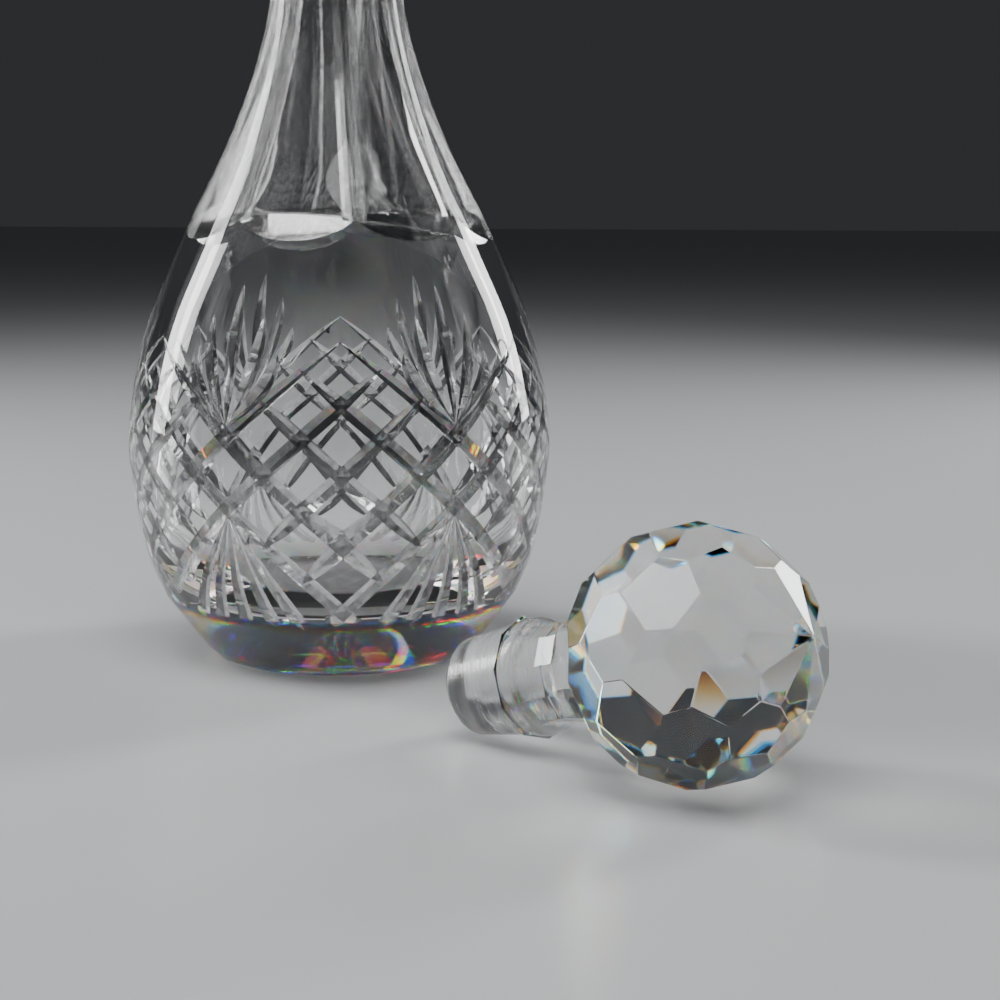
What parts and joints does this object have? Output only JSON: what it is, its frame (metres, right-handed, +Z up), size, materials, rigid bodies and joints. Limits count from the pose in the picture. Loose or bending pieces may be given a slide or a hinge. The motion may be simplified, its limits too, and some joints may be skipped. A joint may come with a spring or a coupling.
{
  "type": "wine decanter",
  "caption": "Cut-glass wine decanter: pear-shaped bottle with diamond and fan cutting, fluted neck and a separate faceted ball stopper lying beside it.",
  "frame": {"origin": "centre of the bottle's flat foot, on the surface that it stands on", "axes": "+Z up along the bottle's axis; the stopper lies towards -Y (in front) and +X (to the right)"},
  "size_m": [0.1493, 0.2007, 0.228],
  "materials": {
    "crystal": "clear polished lead crystal, cut and acid polished, no colour tint; the plug and its seat are finely ground"
  },
  "bodies": {
    "bottle": {"bottle": "crystal"},
    "stopper": {"stopper": "crystal"}
  },
  "joints": [
    {"name": "stopper_lift", "type": "slide", "parent": "bottle", "child": "stopper", "axis": [0, 0, 1], "range_m": [0, 0.24]}
  ]
}
